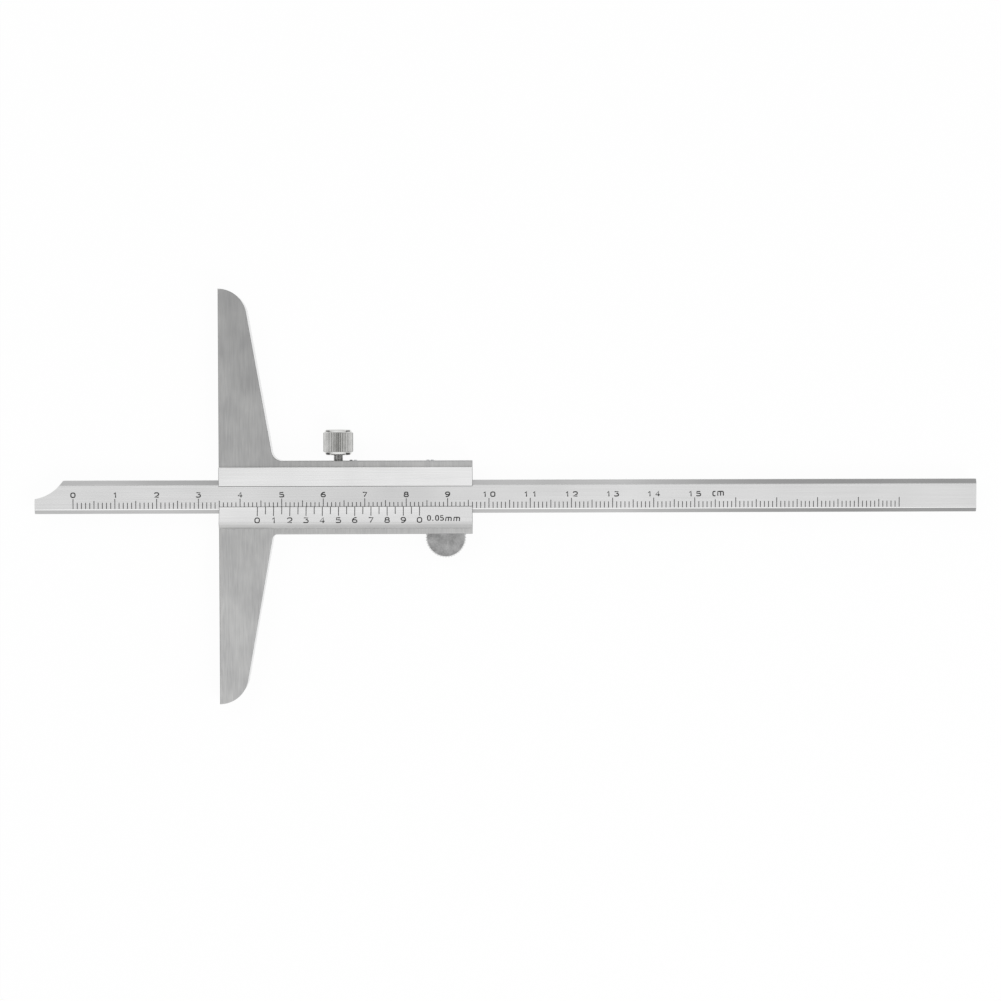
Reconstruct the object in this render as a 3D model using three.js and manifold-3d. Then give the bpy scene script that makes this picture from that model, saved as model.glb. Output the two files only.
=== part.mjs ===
// Vernier depth gauge with a T-shaped base, lying on its back.
// Millimetres. +X runs along the beam away from its measuring tip, +Y runs across it towards
// the lock screw, +Z points out of the graduated front. z = 0 is the flat back of the base.
import * as THREE from 'three';
import { mergeVertices } from 'three/addons/utils/BufferGeometryUtils.js';
import Module from 'manifold-3d';

const wasm = await Module();
wasm.setup();

// Beam: the graduated bar that measures the depth.
const beamLength = 228.2;
const beamWidth = 8;
const beamThickness = 3.5;
const beamUpperBevelWidth = 1.15;
const beamLowerBevelWidth = 1.0;
const beamBevelDepth = 0.45;
const beamBackChamfer = 0.25;
const beamTipHeight = 3.6;
const beamNoseLength = 6.8;
const beamNoseRadius = 10;
const depthReading = 44.2;

// Base: two wings whose long flat edge is the measuring face.
const baseLength = 100;
const wingTipRadius = 6.85;
const wingTaperDegrees = 10;
const upperFilletRadius = 2.7;
const lowerFilletRadius = 1.3;
const bodyEdgeChamfer = 0.15;

// Slider: the body that runs back from the base and guides the beam.
const sliderLength = 61;
const sliderUpperWall = 3.7;
const sliderLowerWall = 4.95;
const sliderBackWall = 1.95;
const upperLipCover = 1.5;
const lowerLipCover = 1.65;
const runningClearance = 0.05;

// Rails: the raised strips above and below the window that shows the beam.
const railLipThickness = 1.95;
const railHeight = 1.0;
const upperRailMargin = 1.55;
const lowerRailMargin = 1.3;
const vernierEdgeThickness = 0.45;
const vernierCrestDrop = 0.2;
const vernierShoulderWidth = 1.4;

// Gib: the strip that takes up the beam's play, and its two adjusting screws.
const gibThickness = 0.6;
const gibPlay = 0.35;
const gibHeightGap = 0.3;
const gibEndGap = 0.5;
const gibRecessRadius = 0.7;
const gibRecessDepth = 0.3;
const gibScrewRadius = 1.0;
const gibScrewPointRadius = 0.6;
const gibScrewStandOut = 0.2;
const gibScrewChamfer = 0.2;
const gibScrewSlotWidth = 0.4;
const gibScrewSlotDepth = 0.5;
const frontGibScrewFromLockScrew = 3.6;
const rearGibScrewFromEnd = 10.2;

// Lock screw and the pad under its tip.
const lockScrewFromFace = 28.6;
const lockHeadRadius = 3.6;
const lockHeadHeight = 6.2;
const lockHeadGap = 1.35;
const lockHeadUpperRounding = 0.8;
const lockHeadLowerRounding = 0.65;
const knurlCount = 36;
const knurlDepth = 0.3;
const knurlCrestTrim = 0.08;
const lockNeckRadius = 1.1;
const lockThreadRadius = 1.25;
const lockThreadInset = 0.2;
const lockNoseRadius = 0.5;
const lockNoseLength = 0.5;
const lockPadRadius = 1.15;
const lockPadThickness = 1.0;
const lockPadRim = 0.15;

// Thumb rest: a disc seated in the slider's lower edge and held by two pins.
const thumbRestRadius = 4.9;
const thumbRestThickness = 2.5;
const thumbRestFromEnd = 6.4;
const thumbRestBackWall = 1.6;
const thumbRestUpperWall = 1.0;
const thumbRestChamfer = 0.35;
const thumbRestToothCount = 44;
const thumbRestToothDepth = 0.25;
const thumbRestCrestTrim = 0.06;
const thumbRestPinRadius = 0.6;
const thumbRestPinLength = 5.5;
const thumbRestPinInset = 2.0;
const thumbRestPinSpacing = 3.2;

// Fits shared by the small pieces.
const turningClearance = 0.08;
const seatClearance = 0.05;
const pinClearance = 0.03;
const cutOverrun = 1.0;

// Facets.
const arcSegments = 8;
const roundingSegments = 4;
const roundSegments = 40;
const smallRoundSegments = 24;
const repeatDistance = 1e-3;

// Levels through the thickness, from the back.
const beamBackZ = sliderBackWall + runningClearance;
const beamFrontZ = beamBackZ + beamThickness;
const beamMiddleZ = (beamBackZ + beamFrontZ) / 2;
const channelFrontZ = beamFrontZ + runningClearance;
const railFrontZ = channelFrontZ + railLipThickness;
const bodyFrontZ = railFrontZ - railHeight;

// Levels across the gauge, from the beam's middle line.
const beamUpperY = beamWidth / 2;
const beamLowerY = -beamWidth / 2;
const channelLowerY = beamLowerY - runningClearance;
const gibLowerY = beamUpperY + runningClearance;
const gibUpperY = gibLowerY + gibThickness;
const channelUpperY = gibUpperY + gibPlay;
const sliderUpperY = channelUpperY + sliderUpperWall;
const sliderLowerY = channelLowerY - sliderLowerWall;
const windowUpperY = beamUpperY - upperLipCover;
const windowLowerY = beamLowerY + lowerLipCover;
const vernierShoulderY = sliderLowerY + lowerRailMargin;

// Places along the beam, from the measuring face of the base.
const beamTipX = -depthReading;
const beamEndX = beamTipX + beamLength;
const frontGibScrewX = lockScrewFromFace + frontGibScrewFromLockScrew;
const rearGibScrewX = sliderLength - rearGibScrewFromEnd;
const thumbRestX = sliderLength - thumbRestFromEnd;
const thumbRestUpperY = channelLowerY - thumbRestUpperWall - seatClearance;
const thumbRestMiddleY = thumbRestUpperY - thumbRestRadius;

const upright = new THREE.Matrix4();
const alongBeam = new THREE.Matrix4().makeBasis(
  new THREE.Vector3(0, 1, 0),
  new THREE.Vector3(0, 0, 1),
  new THREE.Vector3(1, 0, 0),
);
const alongThickness = new THREE.Matrix4().makeRotationX(Math.PI / 2);

// Turns a closed three.js geometry into a solid that can be joined and cut.
// Triangles that shrink to a line at a turned piece's poles are left out.
function solidFrom(geometry, placement = upright) {
  const bare = geometry.clone();
  bare.deleteAttribute('normal');
  bare.deleteAttribute('uv');
  bare.applyMatrix4(placement);
  const merged = mergeVertices(bare);
  const corners = merged.index.array;
  const triangles = [];
  for (let first = 0; first < corners.length; first += 3) {
    const [a, b, c] = corners.slice(first, first + 3);
    if (a !== b && b !== c && c !== a) {
      triangles.push(a, b, c);
    }
  }
  return new wasm.Manifold(new wasm.Mesh({
    numProp: 3,
    vertProperties: new Float32Array(merged.attributes.position.array),
    triVerts: new Uint32Array(triangles),
  }));
}

// Turns a finished solid back into a geometry with flat facets.
function geometryFrom(solid) {
  const { vertProperties, triVerts } = solid.getMesh();
  const geometry = new THREE.BufferGeometry();
  geometry.setAttribute('position', new THREE.BufferAttribute(new Float32Array(vertProperties), 3));
  geometry.setIndex(new THREE.BufferAttribute(new Uint32Array(triVerts), 1));
  const facets = geometry.toNonIndexed();
  facets.computeVertexNormals();
  return facets;
}

// The same outline as straight runs, without the points that repeat where an arc meets its
// neighbour.
function withoutRepeats(outline) {
  const points = outline.getPoints(arcSegments);
  const distinct = points.filter((point, index) => {
    const previous = points[(index + points.length - 1) % points.length];
    return point.distanceTo(previous) > repeatDistance;
  });
  return new THREE.Shape(distinct);
}

// A plate cut from an outline in X and Y, between two levels.
function plateSolid(outline, lowZ, highZ, chamfer = 0) {
  const geometry = new THREE.ExtrudeGeometry(withoutRepeats(outline), {
    depth: highZ - lowZ - 2 * chamfer,
    bevelEnabled: chamfer > 0,
    bevelThickness: chamfer,
    bevelSize: chamfer,
    bevelOffset: -chamfer,
    bevelSegments: 1,
  });
  return solidFrom(geometry, new THREE.Matrix4().makeTranslation(0, 0, lowZ + chamfer));
}

// A bar with a section drawn in Y and Z, between two places along the beam.
function barSolid(section, startX, endX) {
  const geometry = new THREE.ExtrudeGeometry(withoutRepeats(section), {
    depth: endX - startX,
    bevelEnabled: false,
  });
  const placement = new THREE.Matrix4().makeTranslation(startX, 0, 0).multiply(alongBeam);
  return solidFrom(geometry, placement);
}

// A rectangular block between two corners.
function blockSolid([lowX, lowY, lowZ], [highX, highY, highZ]) {
  const geometry = new THREE.BoxGeometry(highX - lowX, highY - lowY, highZ - lowZ);
  const middle = [(lowX + highX) / 2, (lowY + highY) / 2, (lowZ + highZ) / 2];
  return solidFrom(geometry, new THREE.Matrix4().makeTranslation(...middle));
}

// A turned piece about an axis along Y, from [radius, height] points that start and end on it.
function turnedSolid(profile, x, z, segments = roundSegments) {
  const points = profile.map(([radius, y]) => new THREE.Vector2(radius, y));
  const geometry = new THREE.LatheGeometry(points, segments);
  return solidFrom(geometry, new THREE.Matrix4().makeTranslation(x, 0, z));
}

// A straight round rod along Y.
function rodAlongY(radius, lowY, highY, x, z, segments = roundSegments) {
  return turnedSolid([[0, lowY], [radius, lowY], [radius, highY], [0, highY]], x, z, segments);
}

// A straight round rod along Z.
function rodAlongZ(radius, lowZ, highZ, x, y) {
  const points = [[0, lowZ], [radius, lowZ], [radius, highZ], [0, highZ]];
  const profile = points.map(([r, height]) => new THREE.Vector2(r, height));
  const geometry = new THREE.LatheGeometry(profile, smallRoundSegments);
  const placement = new THREE.Matrix4().makeTranslation(x, y, 0).multiply(alongThickness);
  return solidFrom(geometry, placement);
}

// A closed outline of straight-knurled teeth round a circle. The teeth stand out past the circle
// by a trim, so that the turned blank that they are cut from leaves their crests flat.
function toothedOutline(circleRadius, toothDepth, crestTrim, count) {
  const points = [];
  const step = Math.PI / count;
  for (let corner = 0; corner < 2 * count; corner += 1) {
    const radius = corner % 2 === 0 ? circleRadius + crestTrim : circleRadius - toothDepth;
    const angle = corner * step;
    points.push(new THREE.Vector2(radius * Math.cos(angle), radius * Math.sin(angle)));
  }
  return new THREE.Shape(points);
}

// The arcs of a wing that narrows from a slider's edge to its round tip, for the +Y side: the
// flank touches both the tip's arc and the fillet's.
function wingArcs(edgeY, filletRadius) {
  const taper = THREE.MathUtils.degToRad(wingTaperDegrees);
  const tipMiddleY = baseLength / 2 - wingTipRadius;
  const flankTopX = wingTipRadius * Math.cos(taper);
  const flankTopY = tipMiddleY + wingTipRadius * Math.sin(taper);
  const filletMiddleY = edgeY + filletRadius;
  const filletMiddleX = flankTopX
    + (flankTopY - filletMiddleY) * Math.tan(taper)
    + filletRadius / Math.cos(taper);
  return { taper, tipMiddleY, filletMiddleX, filletMiddleY, filletRadius };
}

// The T-shaped outline of base and slider, walked anticlockwise.
function bodyOutline() {
  const quarter = Math.PI / 2;
  const upper = wingArcs(sliderUpperY, upperFilletRadius);
  const lower = wingArcs(-sliderLowerY, lowerFilletRadius);
  const outline = new THREE.Shape();
  outline.moveTo(0, -baseLength / 2);
  outline.absarc(0, -lower.tipMiddleY, wingTipRadius, -quarter, -lower.taper, false);
  outline.absarc(
    lower.filletMiddleX, -lower.filletMiddleY, lower.filletRadius,
    Math.PI - lower.taper, quarter, true,
  );
  outline.lineTo(sliderLength, sliderLowerY);
  outline.lineTo(sliderLength, sliderUpperY);
  outline.absarc(
    upper.filletMiddleX, upper.filletMiddleY, upper.filletRadius,
    -quarter, Math.PI + upper.taper, true,
  );
  outline.absarc(0, upper.tipMiddleY, wingTipRadius, upper.taper, quarter, false);
  outline.closePath();
  return outline;
}

// The raised front of the slider in section: a flat upper rail, and a vernier rail that slopes
// down to a thin edge over the beam.
function railSection() {
  const rootZ = beamMiddleZ;
  const crestY = vernierShoulderY + vernierShoulderWidth;
  const crestZ = railFrontZ - vernierCrestDrop;
  const section = new THREE.Shape();
  section.moveTo(vernierShoulderY, rootZ);
  section.lineTo(sliderUpperY - upperRailMargin, rootZ);
  section.lineTo(sliderUpperY - upperRailMargin, railFrontZ);
  section.lineTo(windowUpperY, railFrontZ);
  section.lineTo(windowUpperY, channelFrontZ);
  section.lineTo(windowLowerY, channelFrontZ);
  section.lineTo(windowLowerY, channelFrontZ + vernierEdgeThickness);
  section.lineTo(crestY, crestZ);
  section.quadraticCurveTo(
    crestY - vernierShoulderWidth / 2, crestZ,
    vernierShoulderY, bodyFrontZ,
  );
  section.closePath();
  return section;
}

function sliderFrame() {
  const plate = plateSolid(bodyOutline(), 0, bodyFrontZ, bodyEdgeChamfer);
  const railBed = blockSolid(
    [-cutOverrun, vernierShoulderY, channelFrontZ],
    [sliderLength + cutOverrun, windowUpperY, bodyFrontZ + cutOverrun],
  );
  const rails = barSolid(railSection(), 0, sliderLength);
  const channel = blockSolid(
    [-cutOverrun, channelLowerY, sliderBackWall],
    [sliderLength + cutOverrun, channelUpperY, channelFrontZ],
  );
  const window = blockSolid(
    [-cutOverrun, windowLowerY, beamMiddleZ],
    [sliderLength + cutOverrun, windowUpperY, railFrontZ + cutOverrun],
  );
  const lockBore = rodAlongY(
    lockThreadRadius + turningClearance,
    beamUpperY, sliderUpperY + cutOverrun,
    lockScrewFromFace, beamMiddleZ,
  );
  const gibBores = [frontGibScrewX, rearGibScrewX].map((x) => rodAlongY(
    gibScrewRadius + seatClearance,
    beamUpperY, sliderUpperY + cutOverrun,
    x, beamMiddleZ, smallRoundSegments,
  ));
  const seat = rodAlongZ(
    thumbRestRadius + seatClearance,
    thumbRestBackWall, thumbRestBackWall + thumbRestThickness + 2 * seatClearance,
    thumbRestX, thumbRestMiddleY,
  );
  const pinHoles = thumbRestPinPlaces().map(([x, y]) => rodAlongZ(
    thumbRestPinRadius + pinClearance,
    -cutOverrun, thumbRestPinLength + 2 * seatClearance,
    x, y,
  ));
  let body = plate.subtract(railBed).add(rails);
  for (const cut of [channel, window, lockBore, seat, ...gibBores, ...pinHoles]) {
    body = body.subtract(cut);
  }
  return body;
}

// The beam's section, seen from its tip: bevelled at the front, lightly chamfered at the back.
function beamSection() {
  const bevelZ = beamFrontZ - beamBevelDepth;
  const section = new THREE.Shape();
  section.moveTo(beamLowerY + beamBackChamfer, beamBackZ);
  section.lineTo(beamUpperY - beamBackChamfer, beamBackZ);
  section.lineTo(beamUpperY, beamBackZ + beamBackChamfer);
  section.lineTo(beamUpperY, bevelZ);
  section.lineTo(beamUpperY - beamUpperBevelWidth, beamFrontZ);
  section.lineTo(beamLowerY + beamLowerBevelWidth, beamFrontZ);
  section.lineTo(beamLowerY, bevelZ);
  section.lineTo(beamLowerY, beamBackZ + beamBackChamfer);
  section.closePath();
  return section;
}

// The corner that is ground away above the measuring tip, along a hollow arc.
function noseCut() {
  const start = new THREE.Vector2(beamTipX, beamLowerY + beamTipHeight);
  const end = new THREE.Vector2(beamTipX + beamNoseLength, beamUpperY);
  const chord = end.clone().sub(start);
  const middle = start.clone().addScaledVector(chord, 1 / 2);
  const rise = Math.sqrt(beamNoseRadius ** 2 - chord.lengthSq() / 4);
  const across = new THREE.Vector2(-chord.y, chord.x).normalize();
  const centre = middle.addScaledVector(across, rise);
  const startAngle = Math.atan2(start.y - centre.y, start.x - centre.x);
  const endAngle = Math.atan2(end.y - centre.y, end.x - centre.x);
  const outline = new THREE.Shape();
  outline.absarc(centre.x, centre.y, beamNoseRadius, startAngle, endAngle, false);
  outline.lineTo(end.x, beamUpperY + cutOverrun);
  outline.lineTo(beamTipX - cutOverrun, beamUpperY + cutOverrun);
  outline.lineTo(beamTipX - cutOverrun, start.y);
  outline.closePath();
  return plateSolid(outline, beamBackZ - cutOverrun, beamFrontZ + cutOverrun);
}

function beam() {
  return barSolid(beamSection(), beamTipX, beamEndX).subtract(noseCut());
}

// The gib strip, with a shallow recess for the point of each adjusting screw.
function gibStrip() {
  const strip = blockSolid(
    [gibEndGap, gibLowerY, sliderBackWall + gibHeightGap],
    [sliderLength - gibEndGap, gibUpperY, channelFrontZ - gibHeightGap],
  );
  const recesses = [frontGibScrewX, rearGibScrewX].map((x) => rodAlongY(
    gibRecessRadius, gibUpperY - gibRecessDepth, gibUpperY + cutOverrun,
    x, beamMiddleZ, smallRoundSegments,
  ));
  return recesses.reduce((solid, recess) => solid.subtract(recess), strip);
}

// A slotted set screw whose point sits in the gib strip's recess.
function gibScrew(x) {
  const topY = sliderUpperY + gibScrewStandOut;
  const shoulderY = gibUpperY + seatClearance;
  const pointY = gibUpperY - gibRecessDepth + seatClearance;
  const screw = turnedSolid([
    [0, pointY],
    [gibScrewPointRadius, pointY],
    [gibScrewPointRadius, shoulderY],
    [gibScrewRadius, shoulderY],
    [gibScrewRadius, topY - gibScrewChamfer],
    [gibScrewRadius - gibScrewChamfer, topY],
    [0, topY],
  ], x, beamMiddleZ, smallRoundSegments);
  const slot = blockSolid(
    [x - gibScrewSlotWidth / 2, topY - gibScrewSlotDepth, beamMiddleZ - gibScrewRadius - cutOverrun],
    [x + gibScrewSlotWidth / 2, topY + cutOverrun, beamMiddleZ + gibScrewRadius + cutOverrun],
  );
  return screw.subtract(slot);
}

// The brass pad that the lock screw's nose turns in.
function lockPad() {
  const lowY = gibUpperY + seatClearance;
  const highY = lowY + lockPadThickness;
  const socketRadius = lockNoseRadius + turningClearance;
  const socketY = highY - lockNoseLength - seatClearance;
  return turnedSolid([
    [0, lowY],
    [lockPadRadius - lockPadRim, lowY],
    [lockPadRadius, lowY + lockPadRim],
    [lockPadRadius, highY],
    [socketRadius, highY],
    [socketRadius, socketY],
    [0, socketY],
  ], lockScrewFromFace, beamMiddleZ);
}

// The lock screw: a knurled head on a plain neck, a threaded shank and a nose.
function lockScrew() {
  const shankY = gibUpperY + lockPadThickness + 2 * seatClearance;
  const threadTopY = sliderUpperY - lockThreadInset;
  const headLowY = sliderUpperY + lockHeadGap;
  const headHighY = headLowY + lockHeadHeight;
  const blankProfile = new THREE.Path();
  blankProfile.moveTo(0, headLowY);
  blankProfile.lineTo(lockHeadRadius - lockHeadLowerRounding, headLowY);
  blankProfile.absarc(
    lockHeadRadius - lockHeadLowerRounding, headLowY + lockHeadLowerRounding,
    lockHeadLowerRounding, -Math.PI / 2, 0, false,
  );
  blankProfile.absarc(
    lockHeadRadius - lockHeadUpperRounding, headHighY - lockHeadUpperRounding,
    lockHeadUpperRounding, 0, Math.PI / 2, false,
  );
  blankProfile.lineTo(0, headHighY);
  const blank = turnedSolid(
    blankProfile.getPoints(roundingSegments).map((point) => point.toArray()),
    lockScrewFromFace, beamMiddleZ, 2 * knurlCount,
  );
  const knurl = toothedOutline(lockHeadRadius, knurlDepth, knurlCrestTrim, knurlCount);
  const teeth = new THREE.ExtrudeGeometry(knurl, {
    depth: lockHeadHeight + 2 * cutOverrun,
    bevelEnabled: false,
  });
  const teethPlacement = new THREE.Matrix4()
    .makeTranslation(lockScrewFromFace, headHighY + cutOverrun, beamMiddleZ)
    .multiply(alongThickness);
  const head = blank.intersect(solidFrom(teeth, teethPlacement));
  const shank = turnedSolid([
    [0, shankY - lockNoseLength],
    [lockNoseRadius, shankY - lockNoseLength],
    [lockNoseRadius, shankY],
    [lockThreadRadius, shankY],
    [lockThreadRadius, threadTopY],
    [lockNeckRadius, threadTopY],
    [lockNeckRadius, headLowY + lockHeadLowerRounding],
    [0, headLowY + lockHeadLowerRounding],
  ], lockScrewFromFace, beamMiddleZ);
  return head.add(shank);
}

// Where the two pins pass through the thumb rest.
function thumbRestPinPlaces() {
  const y = thumbRestUpperY - thumbRestPinInset;
  return [
    [thumbRestX - thumbRestPinSpacing / 2, y],
    [thumbRestX + thumbRestPinSpacing / 2, y],
  ];
}

function thumbRest() {
  const lowZ = thumbRestBackWall + seatClearance;
  const highZ = lowZ + thumbRestThickness;
  const outline = toothedOutline(
    thumbRestRadius, thumbRestToothDepth, thumbRestCrestTrim, thumbRestToothCount,
  );
  const teeth = plateSolid(outline, lowZ, highZ)
    .translate([thumbRestX, thumbRestMiddleY, 0]);
  const crownRadius = thumbRestRadius - thumbRestChamfer;
  const crownProfile = [
    [0, lowZ],
    [crownRadius, lowZ],
    [thumbRestRadius, lowZ + thumbRestChamfer],
    [thumbRestRadius, highZ - thumbRestChamfer],
    [crownRadius, highZ],
    [0, highZ],
  ].map(([radius, z]) => new THREE.Vector2(radius, z));
  const crown = solidFrom(
    new THREE.LatheGeometry(crownProfile, 2 * thumbRestToothCount),
    new THREE.Matrix4().makeTranslation(thumbRestX, thumbRestMiddleY, 0).multiply(alongThickness),
  );
  let disc = teeth.intersect(crown);
  for (const [x, y] of thumbRestPinPlaces()) {
    const hole = rodAlongZ(thumbRestPinRadius + pinClearance, lowZ - cutOverrun, highZ + cutOverrun, x, y);
    disc = disc.subtract(hole);
  }
  return disc;
}

function thumbRestPin([x, y]) {
  return rodAlongZ(thumbRestPinRadius, seatClearance, seatClearance + thumbRestPinLength, x, y);
}

// A finish is the colour, roughness and metalness of one kind of surface.
function finish(color, roughness, metalness = 1) {
  return new THREE.MeshStandardMaterial({ color, roughness, metalness });
}

const satinSteel = () => finish(0xaeb0b1, 0.42);
const groundSteel = () => finish(0xd4d5d6, 0.32);
const brightNickel = () => finish(0xd9d9d6, 0.16);
const greySteel = () => finish(0x8f9192, 0.48);
const darkSteel = () => finish(0x6d6f70, 0.5);
const brass = () => finish(0xb08d4a, 0.38);

function piece(name, solid, material) {
  const mesh = new THREE.Mesh(geometryFrom(solid), material);
  mesh.name = name;
  return mesh;
}

const gauge = new THREE.Group();
gauge.name = 'depth_gauge';

const slider = new THREE.Group();
slider.name = 'slider';
slider.add(piece('slider_frame', sliderFrame(), satinSteel()));
slider.add(piece('gib_strip', gibStrip(), greySteel()));
slider.add(piece('gib_screw_1', gibScrew(frontGibScrewX), darkSteel()));
slider.add(piece('gib_screw_2', gibScrew(rearGibScrewX), darkSteel()));
slider.add(piece('thumb_rest', thumbRest(), greySteel()));
thumbRestPinPlaces().forEach((place, index) => {
  slider.add(piece(`thumb_rest_pin_${index + 1}`, thumbRestPin(place), darkSteel()));
});

const lock = new THREE.Group();
lock.name = 'lock';
lock.add(piece('lock_pad', lockPad(), brass()));
lock.add(piece('lock_screw', lockScrew(), brightNickel()));
slider.add(lock);

gauge.add(slider);
gauge.add(piece('beam', beam(), groundSteel()));

// The origin is under the middle of the whole gauge, on the plane that it lies on.
gauge.position.x = -(beamTipX + beamEndX) / 2;

export default gauge;
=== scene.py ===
"""Finishes, engraving and fine detail of a vernier depth gauge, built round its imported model.

Lengths are millimetres, measured from the base's measuring face, the beam's middle line and the
flat back, until a mesh is placed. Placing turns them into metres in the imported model's frame.
"""

import logging
import math
from collections.abc import Callable, Iterable, Iterator
from contextlib import contextmanager
from dataclasses import KW_ONLY, dataclass, field, replace
from enum import Enum
from functools import partial

import bmesh
import bpy
from mathutils import Matrix, Vector


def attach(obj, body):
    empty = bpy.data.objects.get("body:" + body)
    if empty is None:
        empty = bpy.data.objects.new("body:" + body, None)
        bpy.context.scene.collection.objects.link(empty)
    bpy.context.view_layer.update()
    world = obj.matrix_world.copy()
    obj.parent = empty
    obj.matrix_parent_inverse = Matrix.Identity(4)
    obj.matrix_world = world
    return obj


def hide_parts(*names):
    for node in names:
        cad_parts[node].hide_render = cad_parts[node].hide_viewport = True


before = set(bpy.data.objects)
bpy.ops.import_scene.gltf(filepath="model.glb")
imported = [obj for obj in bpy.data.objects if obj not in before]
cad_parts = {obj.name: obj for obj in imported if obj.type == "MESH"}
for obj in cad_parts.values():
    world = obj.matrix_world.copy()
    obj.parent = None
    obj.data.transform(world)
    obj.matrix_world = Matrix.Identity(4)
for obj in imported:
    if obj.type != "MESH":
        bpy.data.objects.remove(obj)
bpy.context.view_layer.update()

log = logging.getLogger("depth_gauge")

MM = 0.001
FACE_TO_MIDDLE = 69.9
TO_ROW = Matrix.Diagonal((MM, MM, MM, 1.0)) @ Matrix.Translation((-FACE_TO_MIDDLE, 0.0, 0.0))
FROM_ROW = TO_ROW.inverted()
WELD = 1e-7
COPLANAR = math.radians(0.4)
FLAT_WEIGHT = 100
TURNED_CREASE = 24.0

# How much of a face's normal points along an axis: nearly all, half of it, or hardly any.
FACING = 0.9
LEANING = 0.5
UPRIGHT = 0.3

Node = bpy.types.Node
Socket = bpy.types.NodeSocket
Tree = bpy.types.NodeTree
Adder = Callable[..., Node]
Mesh = bpy.types.Mesh
Piece = bpy.types.Object
Pair = tuple[float, float]
Triple = tuple[float, float, float]


class Along(Enum):
    """A direction on the gauge, as the name of its axis."""

    BEAM = "X"
    WINGS = "Y"


class Body(Enum):
    """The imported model's moving bodies that carry finished pieces."""

    SLIDER = "slider"
    BEAM = "beam"
    LOCK_SCREW = "lock_screw"


def linear(code: str) -> tuple[float, float, float, float]:
    """Turns an sRGB hex colour into linear light.

    Args:
        code: Six hex digits, two each for red, green and blue.

    Returns:
        Linear red, green and blue, and full opacity.
    """
    shares = (int(code[n:n + 2], 16) / 255 for n in (0, 2, 4))
    red, green, blue = (
        ((share + 0.055) / 1.055) ** 2.4 if share > 0.04045 else share / 12.92
        for share in shares
    )
    return red, green, blue, 1.0


def add_node(
    tree: Tree, kind: str, inputs: dict[str | int, object] | None = None, **settings: object
) -> Node:
    """Adds a node to a tree with its options and inputs.

    Args:
        tree: The tree that gets the node.
        kind: Blender's name for the kind of node.
        inputs: Values, outputs, or nodes for their first output, by input name or number.
        settings: Options of the node, by name.

    Returns:
        The new node.
    """
    node = tree.nodes.new(kind)
    for option, value in settings.items():
        setattr(node, option, value)
    for socket, value in (inputs or {}).items():
        source = value.outputs[0] if isinstance(value, Node) else value
        if isinstance(source, Socket):
            tree.links.new(source, node.inputs[socket])
        else:
            node.inputs[socket].default_value = source
    return node


def bare_material(name: str) -> tuple[bpy.types.Material, Adder]:
    """Starts a material without nodes.

    Args:
        name: The material's name.

    Returns:
        The material, and what adds nodes to it.
    """
    material = bpy.data.materials.new(name)
    material.use_nodes = True
    material.node_tree.nodes.clear()
    return material, partial(add_node, material.node_tree)


@dataclass(frozen=True)
class Fade:
    """A finish that changes gradually along the gauge or across it, between two places."""

    way: Along
    start: float
    end: float
    dark: str
    light: str
    roughness: float

    def place(self, value: float) -> float:
        """Turns a place on the fade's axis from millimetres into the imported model's frame."""
        return (value - FACE_TO_MIDDLE) * MM if self.way is Along.BEAM else value * MM

    def over(
        self, add: Adder, place: Socket, spread: Node, colour: Socket, polish: Socket
    ) -> tuple[Socket, Socket]:
        """Lays the fade over a finish.

        Args:
            add: Adds nodes to the material.
            place: Object coordinates.
            spread: The finish's pattern, from 0 where it is dark to 1 where it is light.
            colour: The colour so far.
            polish: The roughness so far.

        Returns:
            The new colour and roughness.
        """
        along = add("ShaderNodeSeparateXYZ", {0: place}).outputs[self.way.value]
        share = add(
            "ShaderNodeMapRange",
            {"Value": along, 1: self.place(self.start), 2: self.place(self.end)},
            interpolation_type="SMOOTHSTEP",
        )
        changed = add(
            "ShaderNodeMix", {0: spread, 6: linear(self.dark), 7: linear(self.light)},
            data_type="RGBA",
        ).outputs[2]
        tinted = add("ShaderNodeMix", {0: share, 6: colour, 7: changed}, data_type="RGBA")
        rubbed = add("ShaderNodeMix", {0: share, 2: polish, 3: self.roughness})
        return tinted.outputs[2], rubbed.outputs[0]


@dataclass(frozen=True)
class Finish:
    """A finish whose colour wanders between a dark and a light tone."""

    name: str
    dark: str
    light: str
    roughness: float
    _: KW_ONLY
    tone_limits: Pair = (0.35, 0.65)

    def material(self) -> bpy.types.Material:
        """Builds the finish the first time that it is asked for.

        Returns:
            The finish's one material.
        """
        if self.name in bpy.data.materials:
            return bpy.data.materials[self.name]
        material, add = bare_material(self.name)
        place = add("ShaderNodeTexCoord").outputs["Object"]
        shader = add("ShaderNodeBsdfPrincipled", self.surface(add, place))
        add("ShaderNodeOutputMaterial", {"Surface": shader})
        return material

    def surface(self, add: Adder, place: Socket) -> dict[str, object]:
        """Draws what the finish looks like.

        Args:
            add: Adds nodes to the material.
            place: Object coordinates.

        Returns:
            The shader's inputs by name.
        """
        raise NotImplementedError

    def tint(self, add: Adder, tone: Node) -> tuple[Node, Socket]:
        """Turns a pattern into colour.

        Args:
            add: Adds nodes to the material.
            tone: The pattern, whose values seldom leave the tone limits.

        Returns:
            The pattern spread from 0 to 1, and the colour.
        """
        least, most = self.tone_limits
        spread = add("ShaderNodeMapRange", {"Value": tone, 1: least, 2: most})
        colour = add(
            "ShaderNodeMix", {0: spread, 6: linear(self.dark), 7: linear(self.light)},
            data_type="RGBA",
        )
        return spread, colour.outputs[2]


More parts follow.
